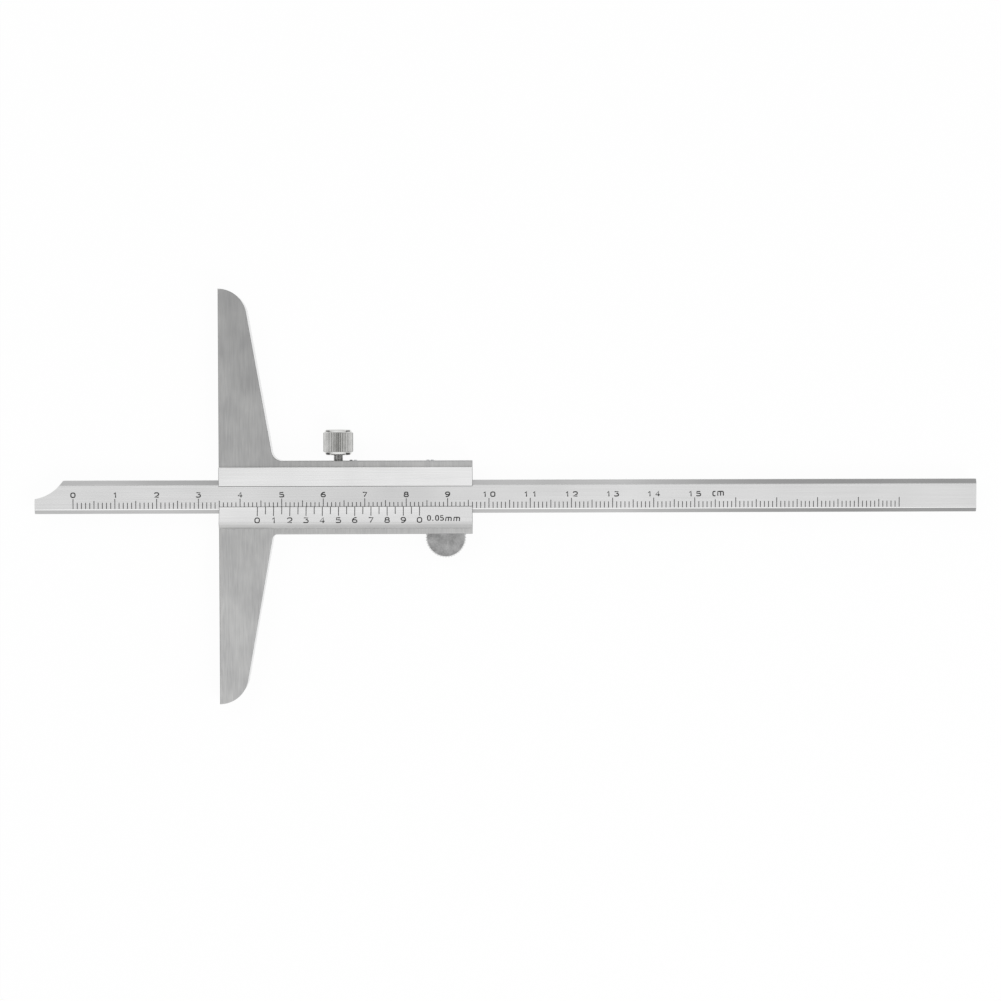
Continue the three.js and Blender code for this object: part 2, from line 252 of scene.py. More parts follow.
@dataclass(frozen=True)
class Metal(Finish):
    """A bare or plated metal, with its gloss and relief from patterns of its own."""

    _: KW_ONLY
    roughness_spread: float = 0.05
    gloss_limits: Pair = (0.3, 0.7)
    relief: float = 0.0012
    fades: tuple[Fade, ...] = ()

    def metal(
        self, add: Adder, place: Socket, tone: Node, gloss: Node, height: Node
    ) -> dict[str, object]:
        """Makes a metal's shader inputs.

        Args:
            add: Adds nodes to the material.
            place: Object coordinates.
            tone: The pattern of the colour.
            gloss: The pattern of the gloss, duller where it is low.
            height: The pattern of the relief.

        Returns:
            The inputs by name.
        """
        spread, colour = self.tint(add, tone)
        least, most = self.gloss_limits
        polish = add(
            "ShaderNodeMapRange",
            {
                "Value": gloss, 1: least, 2: most,
                3: self.roughness + self.roughness_spread,
                4: self.roughness - self.roughness_spread,
            },
        ).outputs[0]
        for fade in self.fades:
            colour, polish = fade.over(add, place, spread, colour, polish)
        bump = add(
            "ShaderNodeBump",
            {"Strength": 1.0, "Distance": self.relief * MM, "Height": height},
        )
        return {"Base Color": colour, "Metallic": 1.0, "Roughness": polish, "Normal": bump}


@dataclass(frozen=True)
class GroundSteel(Metal):
    """Stainless steel ground in one direction.

    The wheel leaves fine lines, which the eye sees as soft streaks, and its pressure varies, which
    it sees as slow clouds of lighter and darker metal. The streaks are drawn a little wider than
    real grinding lines, so that they show in a picture of the whole gauge.
    """

    lay: Along = Along.BEAM
    _: KW_ONLY
    tone_limits: Pair = (0.34, 0.66)
    streak_length: float = 14.0
    streak_width: float = 0.22
    streak_share: float = 0.55
    cloud_size: float = 11.0

    def surface(self, add: Adder, place: Socket) -> dict[str, object]:
        """Draws streaks along the lay, over clouds.

        Args:
            add: Adds nodes to the material.
            place: Object coordinates.

        Returns:
            The shader's inputs by name.
        """
        across, along = self.streak_width * MM, self.streak_length * MM
        stretch = [1 / (along if axis == self.lay.value else across) for axis in "XYZ"]
        drawn_out = add("ShaderNodeMapping", {"Vector": place, "Scale": stretch})
        streaks = add(
            "ShaderNodeTexNoise",
            {"Vector": drawn_out, "Scale": 1.0, "Detail": 3.0, "Roughness": 0.6},
        )
        clouds = add(
            "ShaderNodeTexNoise",
            {"Vector": place, "Scale": 1 / (self.cloud_size * MM), "Detail": 2.0},
        )
        tone = add("ShaderNodeMix", {0: self.streak_share, 2: clouds, 3: streaks})
        return self.metal(add, place, tone, streaks, streaks)


@dataclass(frozen=True)
class MottledMetal(Metal):
    """Metal without a lay, such as turned, etched, plated or oiled.

    Fine grain gives the eye a slightly restless sheen, and larger blotches where the skin was
    attacked or oiled more.
    """

    _: KW_ONLY
    tone_limits: Pair = (0.36, 0.64)
    roughness_spread: float = 0.06
    relief: float = 0.003
    blotch_size: float = 1.6
    grain_size: float = 0.35
    grain_share: float = 0.4

    def surface(self, add: Adder, place: Socket) -> dict[str, object]:
        """Draws grain over blotches.

        Args:
            add: Adds nodes to the material.
            place: Object coordinates.

        Returns:
            The shader's inputs by name.
        """
        blotches, grain = (
            add("ShaderNodeTexNoise", {"Vector": place, "Scale": 1 / (size * MM), "Detail": detail})
            for size, detail in ((self.blotch_size, 3.0), (self.grain_size, 2.0))
        )
        tone = add("ShaderNodeMix", {0: self.grain_share, 2: blotches, 3: grain})
        return self.metal(add, place, tone, blotches, grain)


@dataclass(frozen=True)
class RubbedEnamel(Finish):
    """Black enamel wiped into engraved lines.

    It is matt and a little thinner in places, where the cloth took some of it out again.
    """

    _: KW_ONLY
    patch_size: float = 0.9

    def surface(self, add: Adder, place: Socket) -> dict[str, object]:
        """Draws thinner patches.

        Args:
            add: Adds nodes to the material.
            place: Object coordinates.

        Returns:
            The shader's inputs by name.
        """
        patches = add(
            "ShaderNodeTexNoise",
            {"Vector": place, "Scale": 1 / (self.patch_size * MM), "Detail": 2.0},
        )
        return {"Base Color": self.tint(add, patches)[1], "Roughness": self.roughness}


# Stainless steel, surface-ground and then satin blasted: an even mid grey with little gloss. Its
# two fades are painted light and shade: the grey deepens slowly from the lower wing to the upper
# one as painted shade, and lightens towards the slider's far end as a painted sheen.
SATIN_STEEL = GroundSteel(
    "satin_ground_stainless", "b1b1b1", "cbcbca", 0.35, Along.WINGS,
    streak_length=5.0, streak_width=0.3, streak_share=0.45, cloud_size=9.0,
    fades=(
        Fade(Along.WINGS, -46.0, 46.0, "a4a4a4", "bcbcbb", 0.37),
        Fade(Along.BEAM, 27.0, 52.0, "b6b6b6", "cfcfce", 0.35),
    ),
)
# Stainless steel, fine ground and satin chromed: almost white, with long faint lines. The upper
# rail gets lighter towards its far end as a painted sheen, and the lower rail is a shade darker as
# painted shade. Over the lower shoulder the colour fades to the satin grey, partly the real edge of
# the blasted margin and partly painted shade where the shoulder turns down; at its root a little
# painted light takes out the dark line there.
RAIL_STEEL = GroundSteel(
    "fine_ground_chromed_rail", "e9e9e9", "f6f6f6", 0.26,
    streak_length=26.0, streak_width=0.25, cloud_size=12.0,
    fades=(
        Fade(Along.BEAM, 38.0, 60.0, "f1f1f1", "fcfcfc", 0.26),
        Fade(Along.WINGS, 2.0, -2.0, "e4e4e4", "f1f1f1", 0.26),
        Fade(Along.WINGS, -5.75, -6.85, "b7b7b7", "cbcbca", 0.35),
        Fade(Along.WINGS, -6.85, -7.15, "c8c8c8", "dcdcdb", 0.35),
    ),
)
# The same finish on the beam, a shade darker because its chrome is thinner, and darkest where
# the slider stands over it: painted shade from the slider's rails.
BEAM_STEEL = GroundSteel(
    "fine_ground_chromed_beam", "dadada", "e8e8e8", 0.26, streak_length=32.0, cloud_size=18.0,
    fades=(
        Fade(Along.BEAM, 8.0, 20.0, "d2d2d2", "e0e0e0", 0.26),
        Fade(Along.BEAM, 46.0, 58.0, "dcdcdc", "eaeaea", 0.26),
    ),
)
# The bevels are ground in one coarse pass and get darker towards the far end, where the slider
# doesn't travel and rub them bright. The upper one is also darker by the base: a painted
# reflection of the base's wing.
UPPER_BEVEL_STEEL = GroundSteel(
    "coarse_ground_upper_bevel", "b6b6b6", "c7c7c7", 0.33,
    streak_length=40.0, streak_width=0.3, streak_share=0.25, cloud_size=34.0,
    fades=(
        Fade(Along.BEAM, -27.0, -12.0, "a4a4a4", "b6b6b6", 0.33),
        Fade(Along.BEAM, 20.0, 40.0, "bdbdbd", "cfcfcf", 0.33),
        Fade(Along.BEAM, 90.0, 130.0, "9a9a9a", "aaaaaa", 0.38),
    ),
)
LOWER_BEVEL_STEEL = replace(
    UPPER_BEVEL_STEEL, name="coarse_ground_lower_bevel", dark="b5b5b5",
    fades=(
        Fade(Along.BEAM, 20.0, 40.0, "b9b9b9", "cbcbcb", 0.33),
        Fade(Along.BEAM, 88.0, 132.0, "969696", "a5a5a5", 0.38),
    ),
)
# The beam's long edges get thin flats in a lighter colour: a painted highlight along each edge.
EDGE_HIGHLIGHT_STEEL = GroundSteel("rubbed_bright_edge", "f2f2f2", "fcfcfc", 0.2, streak_length=30.0)
# The slider's walls were ground and then masked for the blast, so they stay light.
WALL_STEEL = GroundSteel("fine_ground_walls", "dcdcdc", "ececec", 0.26, streak_length=12.0)
# The window's two edges are coloured dark: painted shade of the gap there, a thin dark line.
GAP_SHADE_STEEL = GroundSteel("oil_darkened_edge", "6c6c6c", "868686", 0.38, streak_length=9.0)
# The slider's outer edges are broken into narrow flats, coloured dark: a painted shade outline.
OUTLINE_SHADE_STEEL = GroundSteel("stoned_outer_edge", "848484", "9c9c9c", 0.4, streak_length=9.0)
# Hardened steel, milled and etched grey: dull, with blotches.
ETCHED_STEEL = MottledMetal("etched_hardened_steel", "929292", "bababa", 0.46, blotch_size=2.2)
# The same steel where the rim was turned after hardening: clean and light.
TURNED_STEEL = MottledMetal("turned_steel_rim", "e6e6e6", "f6f6f6", 0.3, grain_size=0.2)
# Steel left oiled after turning: grey with a soft shine.
OILED_STEEL = MottledMetal("oiled_steel", "acadaf", "c2c3c6", 0.36, blotch_size=0.8)
# Bright nickel plate on knurled steel: glossy, a little greyed by handling.
BRIGHT_NICKEL = MottledMetal(
    "bright_nickel_plate", "c7c7c5", "dbdbd9", 0.12, roughness_spread=0.03,
    blotch_size=1.8, grain_size=0.5, relief=0.0008,
)
# The same plate on the shank in a darker grey that still shines: painted shade of the shank
# between the head and the slider.
SHADED_SHANK_NICKEL = MottledMetal(
    "oiled_nickel_shank", "4c4c4a", "a2a2a0", 0.12, blotch_size=0.45, grain_size=0.3,
    relief=0.001,
)
# Plated collars turned smooth beside the knurl: the brightest metal on the gauge.
COLLAR_NICKEL = MottledMetal(
    "smooth_nickel_collar", "dadad8", "eaeae8", 0.1, roughness_spread=0.03, relief=0.0005
)
# Small dark spots on the collars' flanks: a painted dark reflection of the shadowed floor and the
# slider's wall.
DARK_SPOT_NICKEL = MottledMetal("greased_collar_flank", "3c3c3a", "626260", 0.25, blotch_size=0.8)
# The knurl's roots: a darker grey between the teeth.
ROOT_NICKEL = MottledMetal("dirty_knurl_root", "aaaaa8", "bebebc", 0.3, relief=0.001)
# Free-cutting brass, turned: warm yellow with a dull patch here and there.
TURNED_BRASS = MottledMetal("turned_brass", "a98846", "bd9a55", 0.36, blotch_size=0.7)
# Spring steel strip, ground flat on both sides.
STRIP_STEEL = GroundSteel("ground_spring_steel", "858688", "96979a", 0.4, streak_length=9.0)
# The measuring face is lapped flat after hardening: smooth, grey and nearly without lines.
LAPPED_STEEL = GroundSteel(
    "lapped_measuring_face", "c4c4c4", "cecece", 0.2, Along.WINGS,
    streak_length=9.0, streak_width=0.25, relief=0.0005,
)
LINE_ENAMEL = RubbedEnamel("rubbed_black_enamel", "161616", "303030", 0.6)


def link_object(name: str, data: bpy.types.ID) -> Piece:
    """Puts a mesh, a lamp or a camera into the scene.

    Args:
        name: The new object's name.
        data: The mesh, lamp or camera.

    Returns:
        The new object.
    """
    piece = bpy.data.objects.new(name, data)
    bpy.context.scene.collection.objects.link(piece)
    return piece


@contextmanager
def edited(mesh: Mesh) -> Iterator[bmesh.types.BMesh]:
    """Opens a mesh as an editable shape, and writes the shape back afterwards.

    Args:
        mesh: The mesh.

    Yields:
        The editable shape.
    """
    shape = bmesh.new()
    shape.from_mesh(mesh)
    yield shape
    shape.to_mesh(mesh)
    shape.free()


def settle(piece: Piece) -> None:
    """Turns what a piece's modifiers make into its plain mesh.

    Args:
        piece: The piece, which keeps no modifier.
    """
    graph = bpy.context.evaluated_depsgraph_get()
    mesh = bpy.data.meshes.new_from_object(
        piece.evaluated_get(graph), preserve_all_data_layers=True, depsgraph=graph
    )
    before = piece.data
    piece.modifiers.clear()
    piece.data = mesh
    bpy.data.meshes.remove(before)
    mesh.name = piece.name


def grow(
    name: str, tree_name: str, sizes: dict[str, object], start: Mesh | None = None
) -> Piece:
    """Runs a geometry tree and keeps what it makes as a plain mesh.

    Args:
        name: The piece's name.
        tree_name: The geometry tree's name.
        sizes: Values for the tree's inputs, by name.
        start: The mesh that the tree starts from, if it needs one.

    Returns:
        The new piece.
    """
    piece = link_object(name, start or bpy.data.meshes.new(name))
    modifier = piece.modifiers.new(name, "NODES")
    modifier.node_group = bpy.data.node_groups[tree_name]
    for item in modifier.node_group.interface.items_tree:
        if item.in_out == "INPUT" and item.name in sizes:
            modifier[item.identifier] = sizes[item.name]
    settle(piece)
    return piece


def welded_copy(node: str) -> Piece:
    """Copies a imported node's mesh, joins its loose triangles and clears its flat faces.

    Args:
        node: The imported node.

    Returns:
        The new piece, without a finish.
    """
    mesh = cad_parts[node].data.copy()
    mesh.name = f"{node}_finished"
    mesh.materials.clear()
    with edited(mesh) as shape:
        bmesh.ops.remove_doubles(shape, verts=shape.verts, dist=WELD)
        bmesh.ops.dissolve_limit(shape, angle_limit=COPLANAR, verts=shape.verts, edges=shape.edges)
    return link_object(mesh.name, mesh)


def break_edges(
    piece: Piece,
    width: float,
    least_degrees: float,
    chosen: Callable[[Vector], bool] = lambda middle: True,
) -> None:
    """Cuts a small flat along the outer edges of a piece.

    Args:
        piece: The piece.
        width: How far the flat reaches from the edge on either side.
        least_degrees: The bluntest edge that is broken.
        chosen: Says from an edge's middle, in millimetres, whether it is broken.
    """
    with edited(piece.data) as shape:
        edges = [
            edge
            for edge in shape.edges
            if edge.calc_face_angle_signed(0.0) > math.radians(least_degrees)
            and chosen(FROM_ROW @ ((edge.verts[0].co + edge.verts[1].co) / 2))
        ]
        bmesh.ops.bevel(
            shape, geom=edges, offset=width * MM, offset_type="OFFSET", segments=1,
            profile=0.5, affect="EDGES", clamp_overlap=False,
        )


def engrave(piece: Piece, cutters: Iterable[Piece]) -> None:
    """Cuts marks into a piece and clears their cutters away.

    Args:
        piece: The piece that is engraved.
        cutters: Closed pieces with the shapes of the marks.
    """
    for cutter in cutters:
        cut = piece.modifiers.new("engraving", "BOOLEAN")
        cut.operation = "DIFFERENCE"
        cut.solver = "MANIFOLD"
        cut.object = cutter
        settle(piece)
        bpy.data.objects.remove(cutter)


def shade(piece: Piece, crease_degrees: float) -> None:
    """Shades a piece smoothly, apart from edges sharper than an angle.

    Large faces keep their own direction, so that flats stay flat and only roundings turn.

    Args:
        piece: The piece.
        crease_degrees: The bluntest edge that stays sharp.
    """
    piece.data.shade_smooth()
    piece.data.set_sharp_from_angle(angle=math.radians(crease_degrees))
    level = piece.modifiers.new("level_flats", "WEIGHTED_NORMAL")
    level.mode = "FACE_AREA"
    level.weight = FLAT_WEIGHT
    level.keep_sharp = True
    settle(piece)


def paint(
    piece: Piece,
    finishes: list[Finish],
    zone: Callable[[Vector, Vector], int] = lambda middle, normal: 0,
) -> None:
    """Gives each face of a piece one of several finishes.

    Args:
        piece: The piece.
        finishes: The finishes.
        zone: Says from a face's middle, in millimetres, and its normal which finish it gets.
    """
    mesh = piece.data
    mesh.materials.clear()
    for finish in finishes:
        mesh.materials.append(finish.material())
    for face in mesh.polygons:
        face.material_index = zone(FROM_ROW @ face.center, face.normal)


def hand_over(piece: Piece, body: Body, slot: str, *replaced: str) -> None:
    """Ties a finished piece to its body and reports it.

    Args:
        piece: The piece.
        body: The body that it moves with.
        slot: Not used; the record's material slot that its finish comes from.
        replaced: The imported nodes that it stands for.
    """
    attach(piece, body.value)
    if replaced:
        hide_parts(*replaced)
    log.info("%s: %d faces on %s", piece.name, len(piece.data.polygons), body.value)


def small_part(node: str) -> None:
    """Makes a smooth oiled copy of a small turned node.

    Args:
        node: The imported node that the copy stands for.
    """
    piece = welded_copy(node)
    paint(piece, [OILED_STEEL])
    shade(piece, TURNED_CREASE)
    hand_over(piece, Body.SLIDER, "dark_steel", node)


def dress_node(node: str, finish: Finish) -> None:
    """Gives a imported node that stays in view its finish.

    Args:
        node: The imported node.
        finish: The finish.
    """
    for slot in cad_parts[node].material_slots:
        slot.material = finish.material()
    log.info("%s: packed node with a new finish", node)


def start_tree(name: str, **inputs: tuple[str, ...]) -> tuple[Adder, bpy.types.NodeOutputs]:
    """Starts a geometry tree with named inputs, the last of which is its finish.

    Args:
        name: The tree's name.
        inputs: Names of inputs, by their kind of value.

    Returns:
        What adds nodes to the tree, and the tree's inputs.
    """
    tree = bpy.data.node_groups.new(name, "GeometryNodeTree")
    tree.interface.new_socket(name="Mesh", in_out="INPUT", socket_type="NodeSocketGeometry")
    for kind, labels in {**inputs, "Material": ("Finish",)}.items():
        for label in labels:
            tree.interface.new_socket(name=label, in_out="INPUT", socket_type=f"NodeSocket{kind}")
    tree.interface.new_socket(name="Mesh", in_out="OUTPUT", socket_type="NodeSocketGeometry")
    add = partial(add_node, tree)
    return add, add("NodeGroupInput").outputs


def end_tree(add: Adder, made: Node, finish: Socket) -> None:
    """Ends a geometry tree by making its copies real and giving them their finish.

    Args:
        add: Adds nodes to the tree.
        made: What the tree made.
        finish: The tree's material input.
    """
    real = add("GeometryNodeRealizeInstances", {"Geometry": made})
    dressed = add("GeometryNodeSetMaterial", {"Geometry": real, "Material": finish})
    add("NodeGroupOutput", {0: dressed})


def graduation_tree() -> None:
    """Makes the tree that rules a scale: straight lines in three lengths, side by side."""
    add, size = start_tree(
        "ruled_scale",
        Int=("Line count", "Middle every", "Long every"),
        Float=(
            "Pitch", "Line width", "Height", "Level",
            "Short length", "Middle length", "Long length",
        ),
    )
    step = add("ShaderNodeCombineXYZ", {"X": size["Pitch"]})
    first = add("ShaderNodeCombineXYZ", {"Z": size["Level"]})
    places = add(
        "GeometryNodeMeshLine",
        {"Count": size["Line count"], "Start Location": first, "Offset": step},
    )
    index = add("GeometryNodeInputIndex")
    reach: Node | Socket = size["Short length"]
    for rank in ("Middle", "Long"):
        rest = add(
            "FunctionNodeIntegerMath", {0: index, 1: size[f"{rank} every"]},
            operation="MODULO",
        )
        met = add("FunctionNodeCompare", {2: rest, 3: 0}, data_type="INT", operation="EQUAL")
        reach = add(
            "GeometryNodeSwitch",
            {"Switch": met, "False": reach, "True": size[f"{rank} length"]},
            input_type="FLOAT",
        )
    stretch = add(
        "ShaderNodeCombineXYZ", {"X": size["Line width"], "Y": reach, "Z": size["Height"]}
    )
    block = add("GeometryNodeMeshCube", {"Size": (1.0, 1.0, 1.0)})
    on_floor = add("GeometryNodeTransform", {"Geometry": block, "Translation": (0.0, 0.5, 0.5)})
    lines = add(
        "GeometryNodeInstanceOnPoints",
        {"Points": places, "Instance": on_floor, "Scale": stretch},
    )
    end_tree(add, lines, size["Finish"])


def lettering_tree() -> None:
    """Makes the tree that sweeps a flat-ended cutter along drawn strokes."""
    add, size = start_tree(
        "engraved_strokes", Float=("Line width", "Height", "Level"), Int=("Corner steps",)
    )
    paths = add("GeometryNodeMeshToCurve", {"Mesh": size["Mesh"]})
    rounding = add("GeometryNodeInputNamedAttribute", {"Name": "rounding"}, data_type="FLOAT")
    rounded = add(
        "GeometryNodeFilletCurve",
        {"Curve": paths, "Count": size["Corner steps"], "Radius": rounding, "Limit Radius": True},
        mode="POLY",
    )
    level = add("GeometryNodeSetCurveNormal", {"Curve": rounded}, mode="Z_UP")
    section = add(
        "GeometryNodeCurvePrimitiveQuadrilateral",
        {"Width": size["Line width"], "Height": size["Height"]},
    )
    swept = add(
        "GeometryNodeCurveToMesh",
        {"Curve": level, "Profile Curve": section, "Fill Caps": True},
    )
    joined = add(
        "GeometryNodeMeshBoolean", {"Mesh 2": swept, "Self Intersection": True},
        operation="UNION", solver="EXACT",
    )
    lift = add("ShaderNodeCombineXYZ", {"Z": size["Level"]})
    raised = add("GeometryNodeTransform", {"Geometry": joined, "Translation": lift})
    end_tree(add, raised, size["Finish"])


def sector_tree() -> None:
    """Makes the tree that repeats one sector round an axis and welds the copies together."""
    add, size = start_tree(
        "ring_of_sectors", Int=("Sector count",), Vector=("Axis",), Float=("Weld distance",)
    )
    places = add("GeometryNodePoints", {"Count": size["Sector count"]})
    index = add("GeometryNodeInputIndex")
    step = add("ShaderNodeMath", {0: math.tau, 1: size["Sector count"]}, operation="DIVIDE")
    angle = add("ShaderNodeMath", {0: index, 1: step}, operation="MULTIPLY")
    turn = add("FunctionNodeAxisAngleToRotation", {"Axis": size["Axis"], "Angle": angle})
    copies = add(
        "GeometryNodeInstanceOnPoints",
        {"Points": places, "Instance": size["Mesh"], "Rotation": turn},
    )
    real = add("GeometryNodeRealizeInstances", {"Geometry": copies})
    welded = add(
        "GeometryNodeMergeByDistance",
        {"Geometry": real, "Distance": size["Weld distance"]},
    )
    end_tree(add, welded, size["Finish"])


@dataclass(frozen=True)
class Stroke:
    """One engraved line of a character, in a box one wide and one high."""

    corners: tuple[Pair, ...]
    closed: bool = False
    sharp: tuple[int, ...] = ()


STROKES = {
    "0": [Stroke(((0, 0), (1, 0), (1, 1), (0, 1)), closed=True)],
    "1": [Stroke(((0.3, 0.74), (0.68, 1.06), (0.68, -0.1)), sharp=(1,))],
    "2": [Stroke(((0, 0.76), (0, 1), (1, 1), (1, 0.52), (0, 0), (1, 0)), sharp=(4,))],
    "3": [
        Stroke(
            ((0.04, 1), (0.96, 1), (0.44, 0.6), (1, 0.6), (1, 0), (0, 0), (0, 0.15)),
            sharp=(1, 2),
        )
    ],
    "4": [Stroke(((0.72, -0.1), (0.72, 1.06), (0, 0.26), (1.06, 0.26)), sharp=(1, 2))],
    "5": [
        Stroke(
            ((0.92, 1), (0.08, 1), (0.06, 0.57), (1, 0.57), (1, 0), (0, 0), (0, 0.13)),
            sharp=(1, 2),
        )
    ],
    "6": [Stroke(((0.95, 1), (0.45, 1), (0, 0.6), (0, 0), (1, 0), (1, 0.56), (0.04, 0.56)))],
    "7": [Stroke(((0, 1), (1, 1), (0.36, 0)), sharp=(1,))],
    "8": [
        Stroke(((0.08, 0.53), (0.92, 0.53), (0.92, 1), (0.08, 1)), closed=True),
        Stroke(((0, 0), (1, 0), (1, 0.53), (0, 0.53)), closed=True),
    ],
    "9": [Stroke(((0.05, 0), (0.55, 0), (1, 0.4), (1, 1), (0, 1), (0, 0.44), (0.96, 0.44)))],
    ".": [Stroke(((0.5, -0.12), (0.5, 0.13)))],
    "c": [Stroke(((0.95, 1), (0, 1), (0, 0), (0.95, 0)))],
    "m": [
        Stroke(((0, 0), (0, 1), (0.5, 1), (0.5, 0)), sharp=(1,)),
        Stroke(((0.3, 1), (1, 1), (1, 0))),
    ],
}


@dataclass(frozen=True)
class Character:
    """One character of a scale: what it is, where it stands and how it is drawn."""

    sign: str
    middle_x: float
    width: float
    band: Pair
    rounding: float
    slant: float = 0.0


def stroke_guide(name: str, characters: Iterable[Character]) -> Mesh:
    """Draws the middle lines of characters as bare edges.

    Args:
        name: The mesh's name.
        characters: The characters, on the plane z = 0.

    Returns:
        A mesh of edges, with how far each corner is rounded.
    """
    points: list[Triple] = []
    edges: list[tuple[int, int]] = []
    rounding: list[float] = []
    for character in characters:
        low, high = character.band
        for stroke in STROKES[character.sign]:
            first = len(points)
            for corner, (across, up) in enumerate(stroke.corners):
                x = character.middle_x + (across - 0.5) * character.width
                rise = up * (high - low)
                points.append((x + character.slant * rise, low + rise, 0.0))
                rounding.append(0.0 if corner in stroke.sharp else character.rounding)
            last = len(points) - 1
            edges += [(n, n + 1) for n in range(first, last)]
            if stroke.closed:
                edges.append((last, first))
    mesh = bpy.data.meshes.new(name)
    mesh.from_pydata(points, edges, [])
    mesh.attributes.new("rounding", "FLOAT", "POINT").data.foreach_set("value", rounding)
    return mesh


@dataclass
class Scale:
    """A ruled and numbered scale on one flat face.

    Its place is that of the face, and its ruling is where the lines start on it.
    """

    name: str
    place: Matrix
    ruling: Matrix
    line_count: int
    pitch: float
    line_lengths: Triple
    longer_every: tuple[int, int]
    texts: dict[str, list[Character]]
    stroke_width: float
    edge_overrun: float = 0.0
    line_width: float = 0.19
    groove_depth: float = 0.05
    enamel_inset: float = 0.012
    cutter_rise: float = 0.05
    enamel_slack: float = 0.003
    corner_steps: int = 3

    def marks(self, ending: str, top: float, slack: float, overrun: float) -> list[Piece]:
        """Makes the scale's lines and its texts as solid strokes.

        Args:
            ending: What the pieces' names end with.
            top: The level of the strokes' upper side over the face.
            slack: How much narrower the strokes are than their grooves.
            overrun: How far the lines reach past the edge that they start at.

        Returns:
            The lines as one piece, and each text as another.
        """
        sizes = {
            "Height": top + self.groove_depth, "Level": -self.groove_depth,
            "Finish": LINE_ENAMEL.material(),
        }
        ranks = ("Short length", "Middle length", "Long length")
        lengths = {rank: length + overrun for rank, length in zip(ranks, self.line_lengths)}
        steps = dict(zip(("Middle every", "Long every"), self.longer_every))
        lines = grow(
            f"{self.name}_lines{ending}", "ruled_scale",
            {
                **sizes, **lengths, **steps, "Line count": self.line_count,
                "Pitch": self.pitch, "Line width": self.line_width - slack,
            },
        )
        start = Matrix.Translation((0.0, -overrun, 0.0))
        lines.data.transform(TO_ROW @ self.place @ self.ruling @ start)
        made = [lines]
        sizes |= {
            "Line width": self.stroke_width - slack, "Corner steps": self.corner_steps,
            "Level": (top - self.groove_depth) / 2,
        }
        for what, characters in self.texts.items():
            name = f"{self.name}_{what}{ending}"
            text = grow(name, "engraved_strokes", sizes, stroke_guide(name, characters))
            text.data.transform(TO_ROW @ self.place)
            made.append(text)
        return made

    def cutters(self) -> list[Piece]:
        """Makes the shapes that the grooves are cut with."""
        return self.marks("_cutter", self.cutter_rise, 0.0, self.edge_overrun)

    def fill(self, body: Body, slot: str) -> None:
        """Wipes enamel into the grooves of the engraved piece on a body."""
        for piece in self.marks("", -self.enamel_inset, self.enamel_slack, 0.0):
            hand_over(piece, body, slot)


